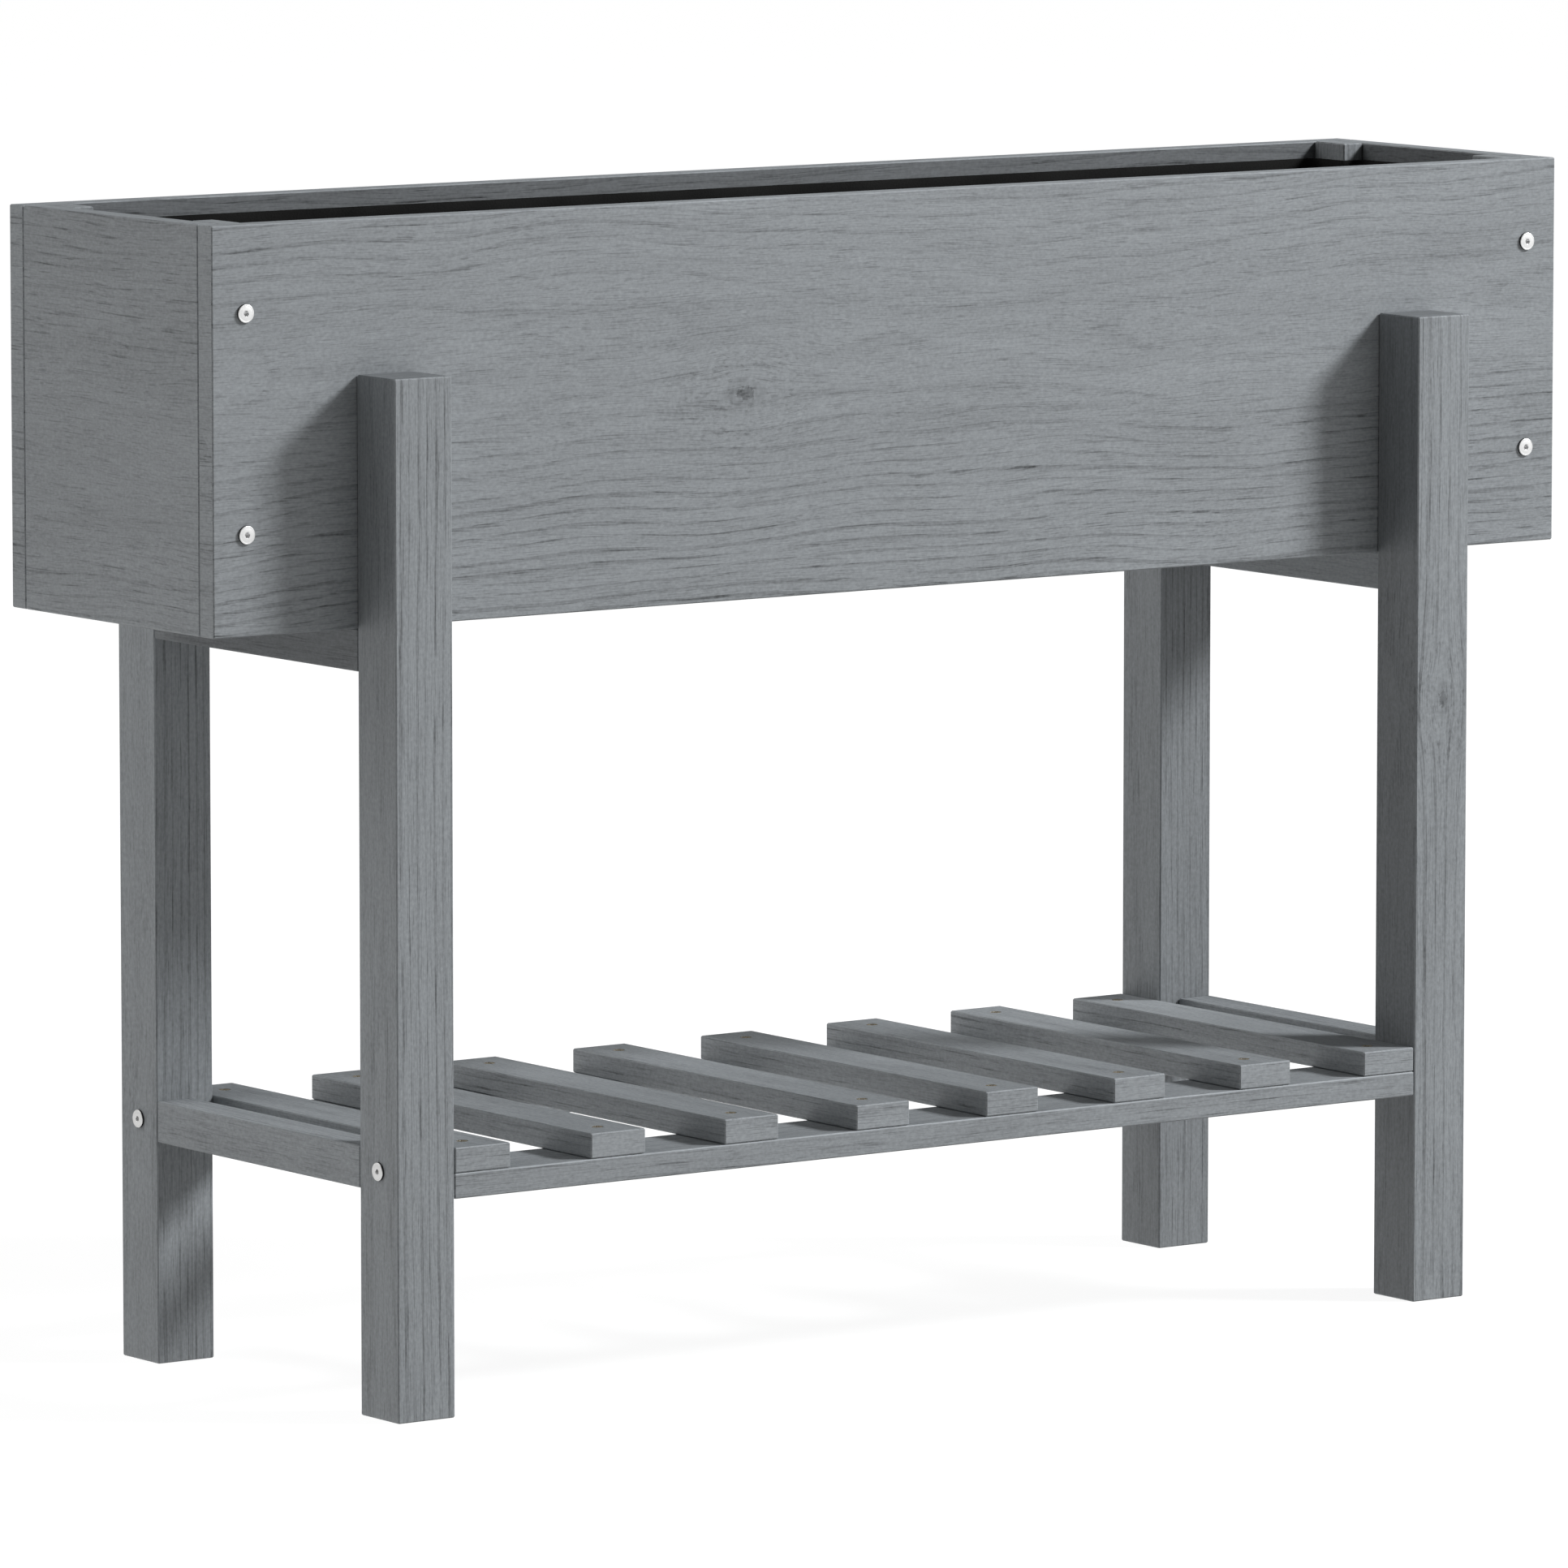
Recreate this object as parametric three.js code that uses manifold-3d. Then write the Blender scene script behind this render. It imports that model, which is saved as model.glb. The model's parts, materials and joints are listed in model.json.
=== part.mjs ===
// Raised planter on legs: a long open box of one-piece boards with a fabric liner,
// held between four square legs, with a slatted shelf between the legs near the floor.
// Millimetres, +Z up. The origin is on the floor under the middle of the object.
// +X runs along the box to the right end, and -Y is the front.
import * as THREE from "three";
import { mergeVertices } from "three/addons/utils/BufferGeometryUtils.js";
import Module from "manifold-3d";

const wasm = await Module();
wasm.setup();

// Driving dimensions.
const BOX_LENGTH = 1000;
const BOX_DEPTH = 220;
const BOX_HEIGHT = 240;
const BOX_UNDERSIDE = 466;
const BOARD = 15; // thickness of the box boards, the floor, the shelf rails and the slats
const POST_DEPTH = 30; // the wide side of a corner post, which lies on the end board
const LEG = 40;
const LEG_HEIGHT = 615;
const LEG_INSET = 100; // from a box end to the outer side of a leg
const BEAM = 25; // square section of the beams under the box and of the shelf's end rails
const SHELF_RAIL_UNDERSIDE = 130;
const SHELF_RAIL_DEPTH = 54;
const SLAT_COUNT = 8;
const SLAT_WIDTH = 39.3;
const SLAT_TO_LEG = 0.6; // clearance between an outer slat and the legs beside it
const FLOOR_BOARD_COUNT = 3;
const FLOOR_BOARD_SLIT = 3; // drainage slit between two floor boards
const LINER = 1.2; // thickness of the liner fabric
const LINER_BELOW_RIM = 10;
const ARRIS = 0.7; // the small flat that breaks every sharp wooden edge
const JOINT = 0.3; // gap between two pieces that meet

const BOLT_HEAD_RADIUS = 5.5;
const BOLT_HEAD_HEIGHT = 1.5;
const BOLT_SHANK_RADIUS = 3;
const BOLT_SOCKET_FLATS = 3; // across the flats of the hexagon socket
const BOLT_SOCKET_DEPTH = 2.4;
const BOLT_SEAT = 0.1; // gap between a bolt head and the wood under it
const BOX_BOLT_SHANK = 40;
const BOX_BOLT_HEIGHTS = { upper: 654.5, lower: 525.5 };
const LEG_BOLT_SHANK = 30;
const LEG_BOLT_Z = 147.5;

const SCREW_HEAD_RADIUS = 3.5;
const SCREW_HEAD_HEIGHT = 2.2;
const SCREW_SHANK_RADIUS = 1.7;
const SCREW_LENGTH = 26;
const SCREW_SUNK = 0.15; // how far the head lies below the top of the slat
const SCREW_CROSS_SPAN = 4.2;
const SCREW_CROSS_WIDTH = 0.9;
const SCREW_CROSS_DEPTH = 1.4;
const SCREW_INSET = 22; // from the end of a slat to its screw

// Places that follow from the driving dimensions.
const RIM_Z = BOX_UNDERSIDE + BOX_HEIGHT;
const BOX_MIDDLE_Z = BOX_UNDERSIDE + BOX_HEIGHT / 2;
const INNER_X = BOX_LENGTH / 2 - BOARD;
const INNER_Y = BOX_DEPTH / 2 - BOARD;
const FLOOR_TOP = BOX_UNDERSIDE + BOARD;
const POST_X = INNER_X - JOINT - BOARD / 2;
const POST_Y = INNER_Y - JOINT - POST_DEPTH / 2;
const LEG_X = BOX_LENGTH / 2 - LEG_INSET - LEG / 2;
const LEG_Y = BOX_DEPTH / 2 + JOINT + LEG / 2;
const BEAM_X = LEG_X + LEG / 2 - BEAM / 2;
const SLAT_LENGTH = 2 * LEG_Y + LEG;
const SLAT_TOP = SHELF_RAIL_UNDERSIDE + 2 * BOARD + JOINT;
const SCREW_Y = SLAT_LENGTH / 2 - SCREW_INSET;
const END_RAIL_Z = SLAT_TOP - BEAM / 2;

const AROUND = 24; // flats around a bolt or a bolt hole
const SCREW_AROUND = 18; // flats around a screw

// The left end and the front are on the negative sides of X and Y.
const ENDS = { left: -1, right: 1 };
const SIDES = { front: -1, back: 1 };

const wood = { color: 0x8b9096, roughness: 0.75, metalness: 0 };
const fabric = { color: 0x141412, roughness: 0.95, metalness: 0 };
const steel = { color: 0xe6e6e6, roughness: 0.25, metalness: 1 };
const brass = { color: 0xc8ac6a, roughness: 0.35, metalness: 1 };

const planter = new THREE.Group();

function solidOf(geometry) {
  const bare = geometry.clone();
  bare.deleteAttribute("normal");
  bare.deleteAttribute("uv");
  const merged = mergeVertices(bare, 1e-4);
  const mesh = new wasm.Mesh({
    numProp: 3,
    vertProperties: new Float32Array(merged.attributes.position.array),
    triVerts: new Uint32Array(merged.index.array),
  });
  return new wasm.Manifold(mesh);
}

function geometryOf(solid) {
  const mesh = solid.getMesh();
  const geometry = new THREE.BufferGeometry();
  geometry.setAttribute("position", new THREE.BufferAttribute(mesh.vertProperties, 3));
  geometry.setIndex(new THREE.BufferAttribute(mesh.triVerts, 1));
  geometry.computeVertexNormals();
  return geometry;
}

// The first geometry with all the others cut away from it.
function cut(geometry, cutters) {
  let solid = solidOf(geometry);
  for (const cutter of cutters) {
    solid = solid.subtract(solidOf(cutter));
  }
  return geometryOf(solid);
}

function add(name, geometry, look, x, y, z) {
  const mesh = new THREE.Mesh(geometry, new THREE.MeshStandardMaterial(look));
  mesh.name = name;
  mesh.position.set(x, y, z);
  planter.add(mesh);
  return mesh;
}

// A closed outline through [x, y] points.
function outline(points) {
  return new THREE.Shape(points.map(([x, y]) => new THREE.Vector2(x, y)));
}

// A sawn and planed piece, centred on its own origin, with the arris on all of its edges.
// The bevel grows the outline by the arris, and corner is the cut that then becomes one arris wide.
function plank(sizeX, sizeY, sizeZ) {
  const x = sizeX / 2 - ARRIS;
  const y = sizeY / 2 - ARRIS;
  const corner = ARRIS * (Math.SQRT2 - 1);
  const section = outline([
    [x - corner, -y],
    [x, corner - y],
    [x, y - corner],
    [x - corner, y],
    [corner - x, y],
    [-x, y - corner],
    [-x, corner - y],
    [corner - x, -y],
  ]);
  const geometry = new THREE.ExtrudeGeometry(section, {
    depth: sizeZ - 2 * ARRIS,
    bevelSize: ARRIS,
    bevelThickness: ARRIS,
    bevelSegments: 1,
  });
  return geometry.translate(0, 0, ARRIS - sizeZ / 2);
}

// A turned body about +Z from a profile of [radius, height] points that starts and ends on the axis.
function turned(profile, around) {
  const points = profile.map(([radius, height]) => new THREE.Vector2(radius, height));
  return new THREE.LatheGeometry(points, around).rotateX(Math.PI / 2);
}

// A drill's path along Z between two heights.
function drill(radius, from, to) {
  const profile = [
    [0, from],
    [radius, from],
    [radius, to],
    [0, to],
  ];
  return turned(profile, AROUND);
}

// A bolt along Z with its head above z = 0, a rounded rim, a hexagon socket and a tapered tip.
function bolt(shankLength) {
  const rim = 0.5;
  const tip = 1;
  const head = BOLT_HEAD_HEIGHT;
  const blank = turned(
    [
      [0, -shankLength],
      [BOLT_SHANK_RADIUS - tip, -shankLength],
      [BOLT_SHANK_RADIUS, tip - shankLength],
      [BOLT_SHANK_RADIUS, BOLT_SEAT],
      [BOLT_HEAD_RADIUS, BOLT_SEAT],
      [BOLT_HEAD_RADIUS, head - rim],
      [BOLT_HEAD_RADIUS - rim * (1 - Math.SQRT1_2), head - rim * (1 - Math.SQRT1_2)],
      [BOLT_HEAD_RADIUS - rim, head],
      [0, head],
    ],
    AROUND,
  );
  const socketRadius = BOLT_SOCKET_FLATS / Math.sqrt(3);
  const socket = new THREE.CylinderGeometry(socketRadius, socketRadius, BOLT_SOCKET_DEPTH, 6);
  socket.rotateX(Math.PI / 2).translate(0, 0, head - BOLT_SOCKET_DEPTH / 2 + JOINT);
  return cut(blank, [socket]);
}

// A countersunk screw's outer form along Z with its head's face at z = 0, grown by a clearance.
function screwForm(clearance) {
  const point = 4;
  const rim = 0.3;
  const head = SCREW_HEAD_RADIUS + clearance;
  const shank = SCREW_SHANK_RADIUS + clearance;
  return turned(
    [
      [0, -SCREW_LENGTH - clearance],
      [shank, point - SCREW_LENGTH],
      [shank, -SCREW_HEAD_HEIGHT],
      [head, -rim],
      [head, clearance],
      [0, clearance],
    ],
    SCREW_AROUND,
  );
}

function screw() {
  const slotA = new THREE.BoxGeometry(SCREW_CROSS_SPAN, SCREW_CROSS_WIDTH, 2 * SCREW_CROSS_DEPTH);
  const slotB = new THREE.BoxGeometry(SCREW_CROSS_WIDTH, SCREW_CROSS_SPAN, 2 * SCREW_CROSS_DEPTH);
  return cut(screwForm(0), [slotA, slotB]);
}

// The box: long boards run past the end boards, and a post stands in each corner.
function makeBox() {
  const holeRadius = BOLT_SHANK_RADIUS + JOINT;
  for (const [side, y] of Object.entries(SIDES)) {
    const drills = [];
    for (const x of Object.values(ENDS)) {
      for (const z of Object.values(BOX_BOLT_HEIGHTS)) {
        const through = drill(holeRadius, -BOARD, BOARD).rotateX(Math.PI / 2);
        drills.push(through.translate(x * POST_X, 0, z - BOX_MIDDLE_Z));
      }
    }
    const board = cut(plank(BOX_LENGTH, BOARD, BOX_HEIGHT), drills);
    add(`board_${side}`, board, wood, 0, y * (INNER_Y + BOARD / 2), BOX_MIDDLE_Z);
  }
  for (const [end, x] of Object.entries(ENDS)) {
    const board = plank(BOARD, 2 * (INNER_Y - JOINT), BOX_HEIGHT);
    add(`board_${end}_end`, board, wood, x * (INNER_X + BOARD / 2), 0, BOX_MIDDLE_Z);
  }
  const postHeight = RIM_Z - FLOOR_TOP - JOINT;
  const postMiddleZ = RIM_Z - postHeight / 2;
  const holeDepth = BOX_BOLT_SHANK - BOARD + JOINT;
  for (const [side, y] of Object.entries(SIDES)) {
    for (const [end, x] of Object.entries(ENDS)) {
      const drills = Object.values(BOX_BOLT_HEIGHTS).map((z) =>
        drill(holeRadius, 0, 2 * holeDepth)
          .translate(0, 0, POST_DEPTH / 2 - holeDepth)
          .rotateX((-y * Math.PI) / 2)
          .translate(0, 0, z - postMiddleZ),
      );
      const post = cut(plank(BOARD, POST_DEPTH, postHeight), drills);
      add(`post_${side}_${end}`, post, wood, x * POST_X, y * POST_Y, postMiddleZ);
    }
  }
}

// The floor boards lie on the two beams, with slits between them for the water.
function makeFloor() {
  const room = 2 * (INNER_Y - JOINT);
  const width = (room - (FLOOR_BOARD_COUNT - 1) * FLOOR_BOARD_SLIT) / FLOOR_BOARD_COUNT;
  const names = ["front", "middle", "back"];
  for (let i = 0; i < FLOOR_BOARD_COUNT; i++) {
    const y = (i - (FLOOR_BOARD_COUNT - 1) / 2) * (width + FLOOR_BOARD_SLIT);
    const board = plank(2 * (INNER_X - JOINT), width, BOARD);
    add(`floor_board_${names[i]}`, board, wood, 0, y, BOX_UNDERSIDE + BOARD / 2);
  }
}

// The inside of the box as an outline that steps round the four posts, shrunk by a margin.
function insideOutline(margin) {
  const x = INNER_X - margin;
  const y = INNER_Y - margin;
  const postX = POST_X - BOARD / 2 - margin;
  const postY = POST_Y - POST_DEPTH / 2 - margin;
  return outline([
    [x, -postY],
    [x, postY],
    [postX, postY],
    [postX, y],
    [-postX, y],
    [-postX, postY],
    [-x, postY],
    [-x, -postY],
    [-postX, -postY],
    [-postX, -y],
    [postX, -y],
    [postX, -postY],
  ]);
}

// The liner is an open tray of fabric that lies on the floor boards and against the walls.
function makeLiner() {
  const bottom = FLOOR_TOP + JOINT;
  const height = RIM_Z - LINER_BELOW_RIM - bottom;
  const outside = new THREE.ExtrudeGeometry(insideOutline(JOINT), {
    depth: height,
    bevelEnabled: false,
  });
  const hollow = new THREE.ExtrudeGeometry(insideOutline(JOINT + LINER), {
    depth: height,
    bevelEnabled: false,
  });
  add("liner", cut(outside, [hollow.translate(0, 0, LINER)]), fabric, 0, 0, bottom);
}

// Four legs stand against the long boards, each with a blind hole for its bolt.
function makeLegs() {
  const holeDepth = LEG_BOLT_SHANK + JOINT;
  for (const [side, y] of Object.entries(SIDES)) {
    for (const [end, x] of Object.entries(ENDS)) {
      const hole = drill(BOLT_SHANK_RADIUS + JOINT, 0, 2 * holeDepth)
        .translate(0, 0, LEG / 2 - holeDepth)
        .rotateY((x * Math.PI) / 2)
        .translate(0, 0, LEG_BOLT_Z - LEG_HEIGHT / 2);
      const leg = cut(plank(LEG, LEG, LEG_HEIGHT), [hole]);
      add(`leg_${side}_${end}`, leg, wood, x * LEG_X, y * LEG_Y, LEG_HEIGHT / 2);
    }
  }
}

// At each end a beam under the box and a rail at the shelf join the front leg to the back leg.
function makeEndFrames() {
  const beamZ = BOX_UNDERSIDE - JOINT - BEAM / 2;
  for (const [end, x] of Object.entries(ENDS)) {
    add(`beam_${end}`, plank(BEAM, BOX_DEPTH, BEAM), wood, x * BEAM_X, 0, beamZ);
    add(`end_rail_${end}`, plank(BEAM, BOX_DEPTH, BEAM), wood, x * BEAM_X, 0, END_RAIL_Z);
  }
}

// The shelf: two long rails between the legs carry the slats, each held by two screws.
function makeShelf() {
  const openLength = 2 * LEG_X - LEG;
  const slatSpan = openLength - 2 * SLAT_TO_LEG - SLAT_WIDTH;
  const slatX = (i) => (i / (SLAT_COUNT - 1) - 0.5) * slatSpan;
  const railZ = SHELF_RAIL_UNDERSIDE + BOARD / 2;
  const slatZ = SLAT_TOP - BOARD / 2;
  const screwZ = SLAT_TOP - SCREW_SUNK;
  for (const [side, y] of Object.entries(SIDES)) {
    const railY = y * (SLAT_LENGTH / 2 - SHELF_RAIL_DEPTH / 2);
    const drills = [];
    for (let i = 0; i < SLAT_COUNT; i++) {
      drills.push(screwForm(JOINT).translate(slatX(i), y * SCREW_Y - railY, screwZ - railZ));
    }
    const rail = cut(plank(openLength - 2 * JOINT, SHELF_RAIL_DEPTH, BOARD), drills);
    add(`shelf_rail_${side}`, rail, wood, 0, railY, railZ);
  }
  for (let i = 0; i < SLAT_COUNT; i++) {
    const drills = Object.values(SIDES).map((y) =>
      screwForm(JOINT).translate(0, y * SCREW_Y, screwZ - slatZ),
    );
    const slat = cut(plank(SLAT_WIDTH, SLAT_LENGTH, BOARD), drills);
    add(`slat_${i + 1}`, slat, wood, slatX(i), 0, slatZ);
    for (const [side, y] of Object.entries(SIDES)) {
      add(`screw_${i + 1}_${side}`, screw(), brass, slatX(i), y * SCREW_Y, screwZ);
    }
  }
}

// Bolts hold the long boards to the posts, and one more goes into the outer side of each leg.
function makeBolts() {
  for (const [side, y] of Object.entries(SIDES)) {
    for (const [end, x] of Object.entries(ENDS)) {
      for (const [level, z] of Object.entries(BOX_BOLT_HEIGHTS)) {
        const name = `box_bolt_${side}_${end}_${level}`;
        const boxBolt = add(name, bolt(BOX_BOLT_SHANK), steel, x * POST_X, (y * BOX_DEPTH) / 2, z);
        boxBolt.rotation.x = (-y * Math.PI) / 2;
      }
      const name = `leg_bolt_${side}_${end}`;
      const outerSide = x * (LEG_X + LEG / 2);
      const legBolt = add(name, bolt(LEG_BOLT_SHANK), steel, outerSide, y * LEG_Y, LEG_BOLT_Z);
      legBolt.rotation.y = (x * Math.PI) / 2;
    }
  }
}

makeBox();
makeFloor();
makeLiner();
makeLegs();
makeEndFrames();
makeShelf();
makeBolts();

export default planter;
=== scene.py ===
"""The looks of a raised planter on legs: grey stained wood, a black fabric liner, bright
bolts and brass screws. Metres, +Z up, +X to the right end, and -Y is the front."""

import json
import math
import random

import bmesh
import bpy
from mathutils import Matrix, Vector, noise
from mathutils.geometry import delaunay_2d_cdt


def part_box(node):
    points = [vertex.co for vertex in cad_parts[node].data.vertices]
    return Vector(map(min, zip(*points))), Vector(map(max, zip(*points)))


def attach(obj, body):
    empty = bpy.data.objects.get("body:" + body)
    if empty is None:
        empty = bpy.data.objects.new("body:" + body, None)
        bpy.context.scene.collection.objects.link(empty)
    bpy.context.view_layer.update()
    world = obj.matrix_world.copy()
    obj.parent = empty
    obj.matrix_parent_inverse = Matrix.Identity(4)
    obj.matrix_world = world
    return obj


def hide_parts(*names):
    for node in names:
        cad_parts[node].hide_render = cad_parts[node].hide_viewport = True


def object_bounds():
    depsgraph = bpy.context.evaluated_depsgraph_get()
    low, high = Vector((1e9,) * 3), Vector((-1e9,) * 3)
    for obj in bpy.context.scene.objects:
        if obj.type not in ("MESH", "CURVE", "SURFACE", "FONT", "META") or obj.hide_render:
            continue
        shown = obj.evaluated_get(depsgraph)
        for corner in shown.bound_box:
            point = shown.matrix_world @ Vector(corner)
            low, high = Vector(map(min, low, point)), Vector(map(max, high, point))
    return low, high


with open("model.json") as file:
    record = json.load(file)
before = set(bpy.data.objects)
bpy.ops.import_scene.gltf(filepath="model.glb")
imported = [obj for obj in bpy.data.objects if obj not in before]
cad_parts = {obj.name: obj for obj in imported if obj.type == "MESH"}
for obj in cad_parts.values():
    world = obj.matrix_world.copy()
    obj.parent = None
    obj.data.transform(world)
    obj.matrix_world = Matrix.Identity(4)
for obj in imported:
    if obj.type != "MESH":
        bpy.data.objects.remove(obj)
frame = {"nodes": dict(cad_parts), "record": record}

CAD_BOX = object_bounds()
MM = 0.001

# The camera: where it stands, where it looks, and its lens on a 36 mm sensor.
CAMERA_PLACE = (-4.3055, -5.9903, 1.2260)
CAMERA_YAW = 35.616  # degrees to the right of +Y
CAMERA_PITCH = 6.882  # degrees below the horizon
CAMERA_LENS = 278.54
CAMERA_SENSOR = 36.0
CAMERA_REACH = 60.0

# The studio: one soft key light at the front right, and a pale sky that glows on some
# sides. A sky glow is its azimuth from +X and its elevation, in degrees, and its strength.
KEY_PLACE = (4.9, -3.5, 4.5)
KEY_SIZE = 1.6
KEY_POWER = 566.0
KEY_COLOUR = (0.985, 1.0, 1.015)
SKY_COLOUR = (1.0, 1.0, 0.995)
SKY_GLOWS = [
    (135, 50, 2.95),
    (-45, 50, 0.04),
    (180, 15, 0.22),
    (-45, 15, 1.2),
    (85, -35, 1.5),
    (135, -15, 1.33),
    (180, -15, 0.6),
    (-90, -15, 1.24),
    (-90, -50, 0.2),
    (-45, -50, 0.06),
]
SKY_GLOW_SHARPNESS = 10.0
FLOOR_SIZE = 60.0
FLOOR_GLOW = 0.9
FLOOR_COLOUR = (0.2, 0.2, 0.2)

# The order of a piece's axes in the frame of its board: along the grain and two across it.
BOARD_AXES = {"X": (0, 1, 2), "Y": (1, 0, 2), "Z": (2, 0, 1)}

# The grey stained wood. A mark is its length along the grain and its width across it, and
# a fade is where, in the noise that draws the mark, the mark starts and where it is full.
WOOD_COLOUR = (0.242, 0.257, 0.269)
WOOD_ROUGHNESS = 0.62
WOOD_GLOSS = 0.3
RING = (4.4 * MM, 6.2 * MM)
RING_UNEVEN = 0.6  # how far the rings' widths differ, in rings
RING_LINE = (0.02, 0.36)  # where the dark first wood of a ring is full and where it ends
RING_PORES = (0.0, 0.6)  # the same for its many pores
RING_FLAT = (0.55, 0.97)  # how flat a ring lies where its line starts to fade, and is faint
FAINTEST_LINE = 0.3  # what is left of a ring's line there, and close to a knot
LATE_PORES = 0.3  # the share of the pores that the last wood of a ring has
FLAT_PORES = 0.4  # and the share where a ring's line would not show
BREAK = (95 * MM, 5 * MM)  # the gaps in a ring's dark line
BREAK_FADE = (0.28, 0.58)
PORE = (40 * MM, 1.1 * MM)
PORE_FADE = (0.56, 0.68)
FINE_PORE = (18 * MM, 0.7 * MM)
FINE_PORE_FADE = (0.55, 0.7)
FIBRE = (7 * MM, 0.5 * MM)
MOTTLE = (2.6 * MM, 1.7 * MM)
STREAK = (120 * MM, 9 * MM)
CLOUD = (400 * MM, 60 * MM)
WAVE = (170 * MM, 55 * MM)
WAVE_HEIGHT = 0.06  # of half the width of the piece
PITH_TURN = 1.4  # turns in the line of the tree's middle, for each metre
PITH_DISTANCE = (35 * MM, 95 * MM)  # from a piece's middle to the middle of the tree
PITH_ASIDE = 0.6  # how far to a side it may be, in half widths of the piece
PITH_WANDER = 4.0  # times the height of the waves
WORN_EDGE = (0.5 * MM, 1.2 * MM)
WORN_UNEVEN = 0.4 * MM

# How some pieces differ, by the start of their names, by their first word or by the name.
FAINT_PIECES = ("slat", "shelf_rail", "end_rail", "board_left", "board_right")
FAINT_LINES = 0.5  # how plain the ring lines of those pieces are, where the others have 1
END_LINES = 0.35  # the same for the cut ends of every piece, as a share of its sides' lines
UPPER_ARRIS_HIGHLIGHT = {"shelf": 0.3, "slat": 0.12}  # how much a painted highlight lightens the upper arrises
END_TONES = {"leg": 0.68, "slat": 1.08}  # the cut ends of these pieces are darker, or lighter
# Whole pieces darkened as painted shade: the back right leg, behind and below the box, and the
# left beam under the box.
PAINTED_PIECE_SHADES = {"leg_back_right": 0.79, "beam_left": 0.68}

# The side of a piece darkened with painted shade, where little light reaches it: the way it
# faces and its tone.
SHADED_SIDES = {
    "board_front": ((0, 1, 0), 0.6),
    "board_back": ((0, -1, 0), 0.6),
    "board_left_end": ((1, 0, 0), 0.6),
    "board_right_end": ((-1, 0, 0), 0.6),
    "leg_front_right": ((-1, 0, 0), 0.76),
}
NO_SHADED_SIDE = ((0, 0, 0), 1.0)
GLUE_LINES = {"leg_back_left": 4.4 * MM}  # where two strips meet, across the piece
GLUE_LINE = (0.2 * MM, 0.5 * MM)
NO_GLUE_LINE = 1.0
KNOT_ROUNDNESS = 0.55  # the width of a knot's bulge in the grain, over its length
KNOT_PULL = 0.85
KNOT_REACH = 2.0  # how far round a knot the grain is bent and quiet, in knot sizes
KNOT_NEAREST = 0.1 * MM  # keeps the distance to a knot from being nothing
KNOT_QUIET = (0.3, 1.0)  # the knot's size over the distance, where lines fade and are faint
KNOT_HEART = 0.42  # of the knot's size
KNOT_HEART_FADE = 1.2 * MM
KNOT_RIM = 0.95
KNOT_RIM_FADE = 2 * MM
KNOT_CHIP = 1.8 * MM
KNOT_CHIP_DEPTH = 3.5 * MM
KNOT_FLECK = (4.5 * MM, 1.6 * MM)
KNOT_FLECK_FADE = (0.56, 0.68)
KNOT_FLECK_NEAR = (0.22, 0.4)  # the same ratio, where flecks start and are full
SQUARELY = (0.75, 0.85)  # how squarely a surface faces along an axis to count as that side
UPPER_START = (0.4, 0.6)  # how much an upper arris faces upwards, at the least
UPPER_END = (0.8, 0.9)  # and at the most

# How much each part of the wood's figure changes its tone.
PLAIN_TONE = 1.09
STREAK_TONE = 0.16
CLOUD_TONE = 0.12
FIBRE_TONE = 0.17
MOTTLE_TONE = 0.30
LINE_TONE = -0.29
PORE_TONE = -0.33
FINE_PORE_TONE = -0.22
GLUE_TONE = -0.3
SECOND_STRIP_TONE = 0.05
HEART_TONE = -0.36
RIM_TONE = -0.10
FLECK_TONE = -0.2
WORN_TONE = 0.08

# How much they change its roughness, and its relief in metres.
PORE_ROUGHNESS = 0.2
STREAK_ROUGHNESS = 0.12
FIBRE_RELIEF = 0.025 * MM
PORE_RELIEF = -0.14 * MM
FINE_PORE_RELIEF = -0.05 * MM
WOOD_BUMP = 0.6
SEEDS = 40  # how far apart in the noise two pieces can lie, in metres

# For one piece, the place of the tree's middle from the piece's own middle, along the grain
# and on the two axes across it, and the width of its rings.
PITHS = {"board_front": ((0, 62 * MM, 36 * MM), 6.1 * MM)}

# The knots: the place along the grain and on the two axes across it, as shares of half the
# piece's size, and the knot's size.
KNOTS = {
    "board_front": ((-0.243, -1, 0.03), 10 * MM),
    "leg_front_right": ((0.225, 0.03, -1), 8 * MM),
    "board_back": ((0.42, 1, 0.25), 11 * MM),
    "board_right_end": ((0.3, 1, -0.4), 8 * MM),
    "leg_back_left": ((-0.35, 0.1, 1), 7 * MM),
    "floor_board_middle": ((0.3, 0.1, -1), 9 * MM),
}

# The bolts and screws. The rows of a bolt's face and end are two steps each: in from the rim
# or from the side of the shank, and down from the top or up from the end.
SHARP_ANGLE = math.radians(32)
HEXAGON_POINTS = 8  # on each side of the socket's outline
CROSS_POINTS = 4
BOLT_HEAD_RADIUS = 5.5 * MM
BOLT_HEAD_HEIGHT = 1.5 * MM
BOLT_RIM = 0.55 * MM
BOLT_SIDE_TOP = 0.33 * MM  # where the side of the head, painted dark as shade, starts below its face
BOLT_SEAT = 0.1 * MM  # from the wood to the underside of the head
BOLT_FACE = [(0.15 * MM, 0), (0.3 * MM, 0.06 * MM), (0.6 * MM, 0.06 * MM), (0.8 * MM, 0)]
BOLT_SHANK_RADIUS = 3 * MM
BOLT_END = [(1 * MM, 0), (0.5 * MM, 0.8 * MM)]
BOLT_SOCKET_FLATS = 3.0 * MM
BOLT_SOCKET_DEPTH = 2.4 * MM
BOLT_SOCKET_TIP = 0.7 * MM
BOLT_SOCKET_TIP_RADIUS = 0.3 * MM
BOLT_MOUTH = (0.1 * MM, 0.25 * MM)  # how far it is bevelled outwards and inwards
BOLT_PITCH = 1 * MM
BOLT_THREAD_DEPTH = 0.55 * MM
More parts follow.
